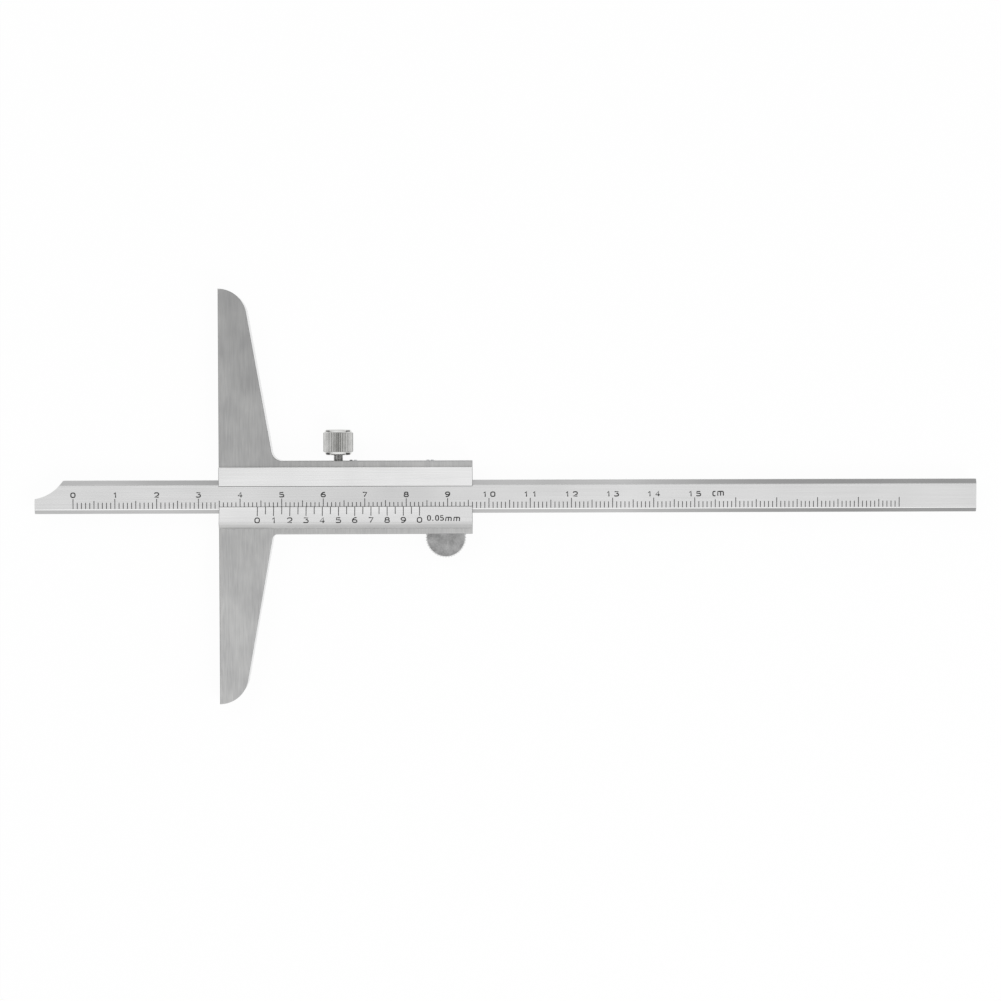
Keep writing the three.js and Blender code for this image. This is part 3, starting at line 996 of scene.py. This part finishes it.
@dataclass
class SliderFrame:
    """The one-piece base and slider, with the vernier engraved on its lower rail."""

    length: float = 61.0
    wing_root_x: float = 15.5
    side_y: float = 8.5
    rail_front: float = 7.5
    margin_front: float = 6.5
    window_upper: float = 2.5
    window_lower: float = -2.35
    vernier_edge_level: float = 6.0
    vernier_crest_y: float = -6.3
    vernier_crest_level: float = 7.3
    shoulder_root_y: float = -7.7
    zero_x: float = 9.2
    interval: float = 1.95
    interval_count: int = 20
    number_every: int = 2
    short_line_end: float = -4.16
    long_line_end: float = -4.57
    edge_overrun: float = 0.3
    stroke_width: float = 0.27
    number_band: Pair = (-6.15, -5.02)
    number_width: float = 1.06
    number_rounding: float = 0.42
    digit_band: Pair = (-5.68, -4.58)
    digit_rounding: float = 0.3
    digits: tuple[tuple[str, float, float], ...] = (
        ("0", 50.49, 0.68), (".", 51.4, 0.1), ("0", 52.44, 0.68), ("5", 53.6, 0.72)
    )
    letter_band: Pair = (-5.87, -5.0)
    letter_rounding: float = 0.25
    letter_slant: float = 0.12
    letters: tuple[tuple[str, float, float], ...] = (("m", 55.13, 1.3), ("m", 57.12, 1.32))
    edge_break: float = 0.09
    window_break: float = 0.14
    broken_degrees: float = 30.0
    lapped_depth: float = 0.05
    crease: float = 14.0
    near: float = 0.2
    touching: float = 0.01
    level_slack: float = 0.05
    finishes: list[Finish] = field(
        default_factory=lambda: [
            SATIN_STEEL, RAIL_STEEL, LAPPED_STEEL, WALL_STEEL, GAP_SHADE_STEEL, OUTLINE_SHADE_STEEL
        ]
    )

    def slope(self) -> Pair:
        """Gives how far the vernier's face runs per millimetre across it.

        Returns:
            The run in Y and in Z.
        """
        across = self.vernier_crest_y - self.window_lower
        rise = self.vernier_crest_level - self.vernier_edge_level
        length = math.hypot(across, rise)
        return -across / length, -rise / length

    def vernier_place(self) -> Matrix:
        """Places the vernier's flat drawing on its sloping face, with its edge as y = 0.

        Returns:
            The drawing's place, in millimetres.
        """
        run, fall = self.slope()
        turn = Matrix(((1, 0, 0, 0), (0, run, -fall, 0), (0, fall, run, 0), (0, 0, 0, 1)))
        edge = (0.0, self.window_lower, self.vernier_edge_level)
        return Matrix.Translation(edge) @ turn

    def down_slope(self, *across: float) -> tuple[float, ...]:
        """Turns places across the gauge into ones on the sloping drawing."""
        return tuple((y - self.window_lower) / self.slope()[0] for y in across)

    def texts(self) -> dict[str, list[Character]]:
        """Lays out the vernier's numbers and its unit.

        Returns:
            Characters by the name of their text.
        """
        band = self.down_slope(*self.number_band)
        numbers = [
            Character(
                str(line // self.number_every % 10), self.zero_x + line * self.interval,
                self.number_width, band, self.number_rounding,
            )
            for line in range(0, self.interval_count + 1, self.number_every)
        ]
        band = self.down_slope(*self.digit_band)
        unit = [Character(*digit, band, self.digit_rounding) for digit in self.digits]
        band = self.down_slope(*self.letter_band)
        look = (self.letter_rounding, self.letter_slant)
        unit += [Character(*letter, band, *look) for letter in self.letters]
        return {"numbers": numbers, "unit": unit}

    def scale(self) -> Scale:
        """Describes the vernier scale, which is ruled from its far end.

        Returns:
            The scale.
        """
        last_x = self.zero_x + self.interval_count * self.interval
        short, long = self.down_slope(self.short_line_end, self.long_line_end)
        return Scale(
            name="vernier",
            place=self.vernier_place(),
            ruling=Matrix.Translation((last_x, 0.0, 0.0)) @ Matrix.Rotation(math.pi, 4, "Z"),
            line_count=self.interval_count + 1,
            pitch=self.interval,
            line_lengths=(-short, -short, -long),
            longer_every=(self.number_every, self.number_every),
            texts=self.texts(),
            stroke_width=self.stroke_width,
            edge_overrun=self.edge_overrun,
        )

    def finish_at(self, middle: Vector, normal: Vector) -> int:
        """Says which of the finishes a face has, in their order: satin first, painted edge shade
        last.

        Args:
            middle: The face's middle, in millimetres.
            normal: Its normal.

        Returns:
            The finish's place in their list.
        """
        if middle.x < self.lapped_depth and normal.x < -FACING:
            return 2
        if abs(normal.z) < UPRIGHT:
            return 3
        # Faces along the window's edges get painted shade of the gap there.
        off_window = min(abs(middle.y - self.window_upper), abs(middle.y - self.window_lower))
        if off_window < self.near and abs(normal.y) > LEANING:
            return 4
        # Outer edge flats of the slider get a painted shade outline.
        at_side = middle.x > self.wing_root_x and abs(middle.y) > self.side_y
        at_end = not self.near < middle.x < self.length - self.near
        if normal.z < FACING and (at_side or at_end):
            return 5
        rail = middle.z > self.rail_front - self.near / 2
        vernier = self.shoulder_root_y < middle.y < self.window_lower + self.near / 2
        raised = middle.z > self.vernier_edge_level - self.near
        return 1 if normal.z > LEANING and (rail or (vernier and raised)) else 0

    def at_window_top(self, at: Vector) -> bool:
        """Says whether an edge is the upper rail's edge over the window."""
        high = at.z > self.rail_front - self.level_slack
        return high and abs(at.y - self.window_upper) < self.touching

    def at_outline(self, at: Vector) -> bool:
        """Says whether an edge is one of the front's others, or the vernier's own.

        Args:
            at: The edge's middle, in millimetres.

        Returns:
            Whether it is one of them.
        """
        front = at.z > self.margin_front - self.level_slack
        edge = at.z > self.vernier_edge_level - self.level_slack
        vernier = edge and abs(at.y - self.window_lower) < self.touching
        return vernier or (front and abs(at.y - self.window_upper) > self.near)

    def build(self) -> None:
        """Builds the frame, engraves it and fills its marks."""
        piece = welded_copy("slider_frame")
        break_edges(piece, self.window_break, self.broken_degrees, self.at_window_top)
        break_edges(piece, self.edge_break, self.broken_degrees, self.at_outline)
        scale = self.scale()
        engrave(piece, scale.cutters())
        paint(piece, self.finishes, self.finish_at)
        shade(piece, self.crease)
        hand_over(piece, Body.SLIDER, "satin_steel", "slider_frame")
        scale.fill(Body.SLIDER, "satin_steel")


@dataclass
class Beam:
    """The graduated bar with its hollow nose."""

    front: float = 5.5
    upper_bevel_y: float = 2.85
    lower_bevel_y: float = -3.0
    zero_x: float = -35.0
    line_count: int = 201
    interval: float = 1.0
    line_foot: float = -2.8
    line_ends: Triple = (-1.3, -0.86, -0.4)
    number_every: int = 10
    last_number: int = 15
    text_band: Pair = (0.0, 1.05)
    number_width: float = 0.98
    number_rounding: float = 0.34
    pair_offsets: Pair = (-1.08, 0.94)
    unit_signs: tuple[tuple[str, float, float], ...] = (("c", 4.76, 0.66), ("m", 6.29, 1.36))
    unit_rounding: float = 0.25
    stroke_width: float = 0.28
    edge_break: float = 0.08
    broken_degrees: float = 15.0
    rubbed_tilt: Pair = (0.95, 0.995)
    crease: float = 8.0
    finishes: list[Finish] = field(
        default_factory=lambda: [BEAM_STEEL, UPPER_BEVEL_STEEL, LOWER_BEVEL_STEEL, EDGE_HIGHLIGHT_STEEL]
    )

    def texts(self) -> dict[str, list[Character]]:
        """Lays out the beam's numbers and its unit.

        Returns:
            Characters by the name of their text.
        """
        numbers: list[Character] = []
        look = (self.text_band, self.number_rounding)
        for number in range(self.last_number + 1):
            mark = self.zero_x + self.number_every * self.interval * number
            digits = str(number)
            offsets = (0.0,) if len(digits) == 1 else self.pair_offsets
            numbers += [
                Character(digit, mark + offset, self.number_width, *look)
                for digit, offset in zip(digits, offsets)
            ]
        last = self.zero_x + self.number_every * self.interval * self.last_number
        unit = [
            Character(sign, last + offset, width, self.text_band, self.unit_rounding)
            for sign, offset, width in self.unit_signs
        ]
        return {"numbers": numbers, "unit": unit}

    def scale(self) -> Scale:
        """Describes the beam's scale.

        Returns:
            The scale.
        """
        short, middle, long = (end - self.line_foot for end in self.line_ends)
        return Scale(
            name="beam",
            place=Matrix.Translation((0.0, 0.0, self.front)),
            ruling=Matrix.Translation((self.zero_x, self.line_foot, 0.0)),
            line_count=self.line_count,
            pitch=self.interval,
            line_lengths=(short, middle, long),
            longer_every=(self.number_every // 2, self.number_every),
            texts=self.texts(),
            stroke_width=self.stroke_width,
        )

    def finish_at(self, middle: Vector, normal: Vector) -> int:
        """Says which finish a face has: flats first, then bevels, then painted highlights on the
        edges.

        Args:
            middle: The face's middle, in millimetres.
            normal: Its normal.

        Returns:
            The finish's place in their list.
        """
        # Thin flats along the bevels' edges get a painted highlight.
        off_edge = min(abs(middle.y - self.lower_bevel_y), abs(middle.y - self.upper_bevel_y))
        least, most = self.rubbed_tilt
        if off_edge < self.edge_break and least < normal.z < most:
            return 3
        if normal.z < LEANING or self.lower_bevel_y < middle.y < self.upper_bevel_y:
            return 0
        return 1 if middle.y > 0.0 else 2

    def build(self) -> None:
        """Builds the beam, engraves it and fills its marks."""
        piece = welded_copy("beam")
        break_edges(piece, self.edge_break, self.broken_degrees)
        scale = self.scale()
        engrave(piece, scale.cutters())
        paint(piece, self.finishes, self.finish_at)
        shade(piece, self.crease)
        hand_over(piece, Body.BEAM, "ground_steel", "beam")
        scale.fill(Body.BEAM, "ground_steel")


@dataclass
class LockScrew:
    """The knurled clamping screw and its pad."""

    axis_x: float = 28.6
    axis_z: float = 3.75
    head_low: float = 10.05
    head_height: float = 6.2
    head_radius: float = 3.6
    head_crease: float = 24.0
    rim_height: float = 0.72
    rim_width: float = 0.55
    rim_crown: float = 0.1
    rim_steps: int = 6
    tooth_end: float = 0.1
    tooth_count: int = 48
    tooth_depth: float = 0.26
    tooth_crown: float = 0.03
    tooth_shares: tuple[float, ...] = (-1.0, -0.55, -0.2, 0.0, 0.2, 0.55, 1.0)
    crest_share: float = 0.2
    root_share: float = 0.7
    flank_shares: Pair = (0.54, 0.8)
    lower_grease: Pair = (0.05, 0.6)
    upper_grease: Pair = (0.25, 0.55)
    nose_low: float = 5.25
    nose_radius: float = 0.5
    thread_low: float = 5.75
    thread_high: float = 8.5
    thread_radius: float = 1.25
    thread_depth: float = 0.2
    thread_pitch: float = 0.45
    neck_radius: float = 1.1
    shank_sides: int = 32
    shank_crease: float = 30.0
    rows_per_turn: int = 6
    weld: float = 0.001

    def head_profile(self) -> list[Pair]:
        """Draws the turned head's outline from its lower middle to its upper middle.

        A smooth crowned collar stands at each end, as deep as the knurl's roots.

        Returns:
            Pairs of radius and height over the head's lower face.
        """
        root = self.head_radius - self.tooth_depth
        lower = []
        for step in range(self.rim_steps + 1):
            share = step / self.rim_steps
            crown = self.rim_crown * math.sin(math.pi * share)
            radius = root - self.rim_width * (1 - share) + crown
            lower.append((min(radius, root), max(0.0, self.rim_height * share - crown)))
        lower.append((self.head_radius, self.rim_height + self.tooth_end))
        upper = [(radius, self.head_height - height) for radius, height in reversed(lower)]
        return [(0.0, 0.0), *lower, *upper, (0.0, self.head_height)]

    def tooth_radius(self, share: float) -> float:
        """Gives the knurl's radius between a tooth's crest and its root.

        Args:
            share: How far the place is from the crest, where the root is 1.

        Returns:
            The radius.
        """
        sloping = max(0.0, share - self.crest_share) / (1 - self.crest_share)
        crown = self.tooth_crown * min(share / self.crest_share, 1.0) ** 2
        return self.head_radius - crown - (self.tooth_depth - crown) * sloping

    def head_sector(self) -> Mesh:
        """Makes one tooth's slice of the head, about the Y axis.

        Returns:
            The slice, open towards its neighbours.
        """
        half = math.pi / self.tooth_count
        profile = self.head_profile()
        points = []
        for radius, y in profile:
            for share in self.tooth_shares:
                reach = min(radius, self.tooth_radius(abs(share)))
                angle = share * half
                points.append((reach * math.sin(angle), y, reach * math.cos(angle)))
        across = len(self.tooth_shares)
        faces = []
        for row in range(len(profile) - 1):
            for column in range(across - 1):
                a = row * across + column
                faces.append((a, a + 1, a + across + 1, a + across))
        mesh = bpy.data.meshes.new("head_sector")
        mesh.from_pydata(points, [], faces)
        return mesh

    def head(self) -> Piece:
        """Repeats the slice into the whole knurled head.

        Returns:
            The new piece.
        """
        sizes = {
            "Sector count": self.tooth_count, "Axis": (0.0, 1.0, 0.0),
            "Weld distance": self.weld, "Finish": BRIGHT_NICKEL.material(),
        }
        piece = grow("lock_screw_head", "ring_of_sectors", sizes, self.head_sector())
        place = Matrix.Translation((self.axis_x, self.head_low, self.axis_z))
        piece.data.transform(TO_ROW @ place)
        with edited(piece.data) as shape:
            bmesh.ops.recalc_face_normals(shape, faces=shape.faces)
        return piece

    def finish_at(self, middle: Vector, normal: Vector) -> int:
        """Says which finish a head's face has: tooth 0, root 1, collar 2, painted dark spot on a
        flank 3.

        Args:
            middle: The face's middle, in millimetres.
            normal: Its normal.

        Returns:
            The finish's place in their list.
        """
        up = middle.y - self.head_low
        rise = min(up, self.head_height - up)
        if rise < self.rim_height:
            # The collars' flanks get spots of painted dark reflection.
            low, high = self.lower_grease if up < self.rim_height else self.upper_grease
            inner, outer = self.flank_shares
            on_flank = inner < abs(middle.x - self.axis_x) / self.head_radius < outer
            return 3 if on_flank and low < rise < high else 2
        reach = math.hypot(middle.x - self.axis_x, middle.z - self.axis_z)
        return 1 if reach < self.head_radius - self.root_share * self.tooth_depth else 0

    def shank_rows(self) -> list[Triple]:
        """Draws the shank from its nose up.

        Returns:
            Heights, each with the radius and the depth of the thread there.
        """
        length = self.thread_high - self.thread_low
        count = round(length / self.thread_pitch * self.rows_per_turn)
        thread = [
            (self.thread_low + length * row / count, self.thread_radius, self.thread_depth)
            for row in range(count + 1)
        ]
        top = self.head_low + self.rim_height
        return [
            (self.nose_low, 0.0, 0.0),
            (self.nose_low, self.nose_radius, 0.0),
            (self.thread_low, self.nose_radius, 0.0),
            *thread,
            (self.thread_high, self.neck_radius, 0.0),
            (top, self.neck_radius, 0.0),
            (top, 0.0, 0.0),
        ]

    def shank(self) -> Piece:
        """Builds the nose, thread and neck as one closed piece.

        The thread's radius is a triangle wave round the axis, which climbs with the angle.

        Returns:
            The new piece.
        """
        mesh = bpy.data.meshes.new("lock_screw_shank")
        with edited(mesh) as shape:
            rings = []
            for y, full, depth in self.shank_rows():
                ring = []
                for side in range(self.shank_sides):
                    angle = math.tau * side / self.shank_sides
                    phase = ((y - self.thread_low) / self.thread_pitch - angle / math.tau) % 1.0
                    radius = full - depth * abs(2 * phase - 1)
                    corner = (radius * math.sin(angle), y, radius * math.cos(angle))
                    ring.append(shape.verts.new(corner))
                rings.append(ring)
            for low, high in zip(rings, rings[1:]):
                for side in range(self.shank_sides):
                    after = (side + 1) % self.shank_sides
                    shape.faces.new((low[side], low[after], high[after], high[side]))
            bmesh.ops.remove_doubles(shape, verts=shape.verts, dist=self.weld)
            bmesh.ops.recalc_face_normals(shape, faces=shape.faces)
        mesh.transform(TO_ROW @ Matrix.Translation((self.axis_x, 0.0, self.axis_z)))
        return link_object("lock_screw_shank", mesh)

    def build(self) -> None:
        """Builds the screw and dresses the pad."""
        head = self.head()
        finishes = [BRIGHT_NICKEL, ROOT_NICKEL, COLLAR_NICKEL, DARK_SPOT_NICKEL]
        paint(head, finishes, self.finish_at)
        shade(head, self.head_crease)
        hand_over(head, Body.LOCK_SCREW, "bright_nickel", "lock_screw")
        shank = self.shank()
        # The shank's darker grey is painted shade.
        paint(shank, [SHADED_SHANK_NICKEL])
        shade(shank, self.shank_crease)
        hand_over(shank, Body.LOCK_SCREW, "bright_nickel", "lock_screw")
        dress_node("lock_pad", TURNED_BRASS)


@dataclass
class ThumbRest:
    """The serrated disc under the slider, and its two pins."""

    middle_x: float = 54.6
    middle_y: float = -10.0
    face_radius: float = 4.45
    crease: float = 20.0
    pins: tuple[str, ...] = ("thumb_rest_pin_1", "thumb_rest_pin_2")

    def finish_at(self, middle: Vector, normal: Vector) -> int:
        """Says which finish a face has: 0 for the flat sides, 1 for the rim."""
        reach = math.hypot(middle.x - self.middle_x, middle.y - self.middle_y)
        return 1 if reach > self.face_radius else 0

    def build(self) -> None:
        """Builds the disc and the pins."""
        disc = welded_copy("thumb_rest")
        paint(disc, [ETCHED_STEEL, TURNED_STEEL], self.finish_at)
        shade(disc, self.crease)
        hand_over(disc, Body.SLIDER, "plain_steel", "thumb_rest")
        for node in self.pins:
            small_part(node)


@dataclass
class Gib:
    """The strip that takes up the beam's play, and its two adjusting screws."""

    strip: str = "gib_strip"
    screws: tuple[str, ...] = ("gib_screw_1", "gib_screw_2")

    def build(self) -> None:
        """Dresses the strip and builds the screws."""
        dress_node(self.strip, STRIP_STEEL)
        for node in self.screws:
            small_part(node)


@dataclass(frozen=True)
class Lamp:
    """A square soft lamp that faces the gauge, in metres and watts."""

    name: str
    place: Triple
    side: float
    watts: float

    def hang(self) -> None:
        """Hangs the lamp where no metal mirrors it."""
        light = bpy.data.lights.new(self.name, "AREA")
        light.shape = "SQUARE"
        light.size = self.side
        light.energy = self.watts
        lamp = link_object(self.name, light)
        lamp.location = self.place
        lamp.rotation_euler = Vector(self.place).to_track_quat("Z", "Y").to_euler()
        lamp.visible_glossy = False


@dataclass
class Studio:
    """A white floor, a soft white surround, two large lamps and the camera.

    Places and sizes are metres, the camera's turn is degrees and its lens millimetres.
    """

    floor_half: float = 4.0
    floor_level: float = -0.00002
    floor_glow: float = 0.95
    surround_diffuse: float = 0.66
    surround_mirrored: float = 1.06
    boom_middle: float = 0.27
    boom_reach: float = 0.42
    boom_slimness: float = 0.28
    boom_least: float = 0.4
    end_share: float = 0.12
    end_reach: float = 0.5
    horizon_share: float = 0.6
    horizon_reach: float = 0.8
    lamps: tuple[Lamp, ...] = (
        Lamp("front_lamp", (0.34, -0.52, 0.66), 0.5, 2.6),
        Lamp("rear_lamp", (-0.5, 0.55, 0.8), 0.6, 2.2),
    )
    camera_place: Triple = (-0.01951, 0.0162, 0.5044)
    camera_turn: Triple = (-1.972, -2.001, -0.088)
    camera_lens: float = 74.22
    camera_sensor: float = 36.0
    camera_near: float = 0.01

    def floor(self) -> None:
        """Lays the floor, which looks white and keeps the gauge's shadow."""
        half = self.floor_half
        turns = ((-1, -1), (1, -1), (1, 1), (-1, 1))
        corners = [(half * x, half * y, self.floor_level) for x, y in turns]
        mesh = bpy.data.meshes.new("floor")
        mesh.from_pydata(corners, [], [(0, 1, 2, 3)])
        floor = link_object("floor", mesh)
        material, add = bare_material("white_card")
        path = add("ShaderNodeLightPath").outputs
        share: Node | Socket = path["Is Camera Ray"]
        for ray in ("Is Glossy Ray", "Is Transmission Ray"):
            share = add("ShaderNodeMath", {0: share, 1: path[ray]}, operation="MAXIMUM")
        share = add("ShaderNodeMath", {0: share, 1: self.floor_glow}, operation="MULTIPLY")
        card = add("ShaderNodeBsdfDiffuse", {"Color": linear("f6f6f6")})
        glow = add("ShaderNodeEmission", {"Color": linear("ffffff"), "Strength": 1.0})
        mixed = add("ShaderNodeMixShader", {0: share, 1: card, 2: glow})
        add("ShaderNodeOutputMaterial", {"Surface": mixed})
        mesh.materials.append(material)

    def mirrored(self, add: Adder) -> Node:
        """Makes the surround's strength as metal sees it.

        Args:
            add: Adds nodes to the world.

        Returns:
            The full strength times the horizon's, the open ends' and the boom's shares.
        """
        place = add("ShaderNodeTexCoord").outputs["Generated"]
        way = add("ShaderNodeSeparateXYZ", {0: place}).outputs
        along = add("ShaderNodeMath", {0: way["X"], 1: self.boom_slimness}, operation="MULTIPLY")
        flat = add("ShaderNodeCombineXYZ", {"X": along, "Y": way["Y"]})
        off_boom = add(
            "ShaderNodeVectorMath", {0: flat, 1: (0.0, self.boom_middle, 0.0)},
            operation="DISTANCE",
        ).outputs["Value"]
        across = add("ShaderNodeCombineXYZ", {"Y": way["Y"], "Z": way["Z"]})
        off_ends = add("ShaderNodeVectorMath", {0: across}, operation="LENGTH").outputs["Value"]
        shades = (
            (way["Z"], self.horizon_reach, self.horizon_share),
            (off_ends, self.end_reach, self.end_share),
            (off_boom, self.boom_reach, self.boom_least),
        )
        product: Node | float = self.surround_mirrored
        for distance, reach, least in shades:
            share = add(
                "ShaderNodeMapRange", {"Value": distance, 2: reach, 3: least, 4: 1.0},
                interpolation_type="SMOOTHSTEP",
            )
            product = add("ShaderNodeMath", {0: share, 1: product}, operation="MULTIPLY")
        return product

    def surround(self) -> None:
        """Puts a white surround about the gauge.

        Metal sees it with the soft shadow of the camera's boom across it, greyer towards the
        horizon, and dark past the beam's two ends, where the tent that made it is open.
        """
        world = bpy.data.worlds.new("white_surround")
        bpy.context.scene.world = world
        world.use_nodes = True
        world.node_tree.nodes.clear()
        add = partial(add_node, world.node_tree)
        path = add("ShaderNodeLightPath").outputs
        seen = add(
            "ShaderNodeMath", {0: path["Is Glossy Ray"], 1: path["Is Transmission Ray"]},
            operation="MAXIMUM",
        )
        lit = add("ShaderNodeMix", {0: seen, 2: self.surround_diffuse, 3: self.mirrored(add)})
        strength = add("ShaderNodeMix", {0: path["Is Camera Ray"], 2: lit, 3: 1.0})
        light = add("ShaderNodeBackground", {"Color": linear("ffffff"), "Strength": strength})
        add("ShaderNodeOutputWorld", {"Surface": light})

    def camera(self) -> None:
        """Sets the camera over the gauge, as the photograph was taken."""
        lens = bpy.data.cameras.new("camera")
        lens.lens = self.camera_lens
        lens.sensor_width = self.camera_sensor
        lens.clip_start = self.camera_near
        camera = link_object("camera", lens)
        camera.location = self.camera_place
        camera.rotation_euler = [math.radians(angle) for angle in self.camera_turn]
        bpy.context.scene.camera = camera

    def build(self) -> None:
        """Sets up the whole studio."""
        self.floor()
        self.surround()
        for lamp in self.lamps:
            lamp.hang()
        self.camera()
        bpy.context.scene.view_settings.view_transform = "Standard"


def main() -> None:
    """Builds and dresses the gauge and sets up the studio."""
    logging.basicConfig(level=logging.INFO, format="%(name)s: %(message)s")
    for make_tree in (graduation_tree, lettering_tree, sector_tree):
        make_tree()
    for part in (SliderFrame(), Beam(), LockScrew(), ThumbRest(), Gib(), Studio()):
        part.build()


if __name__ == "__main__":
    main()
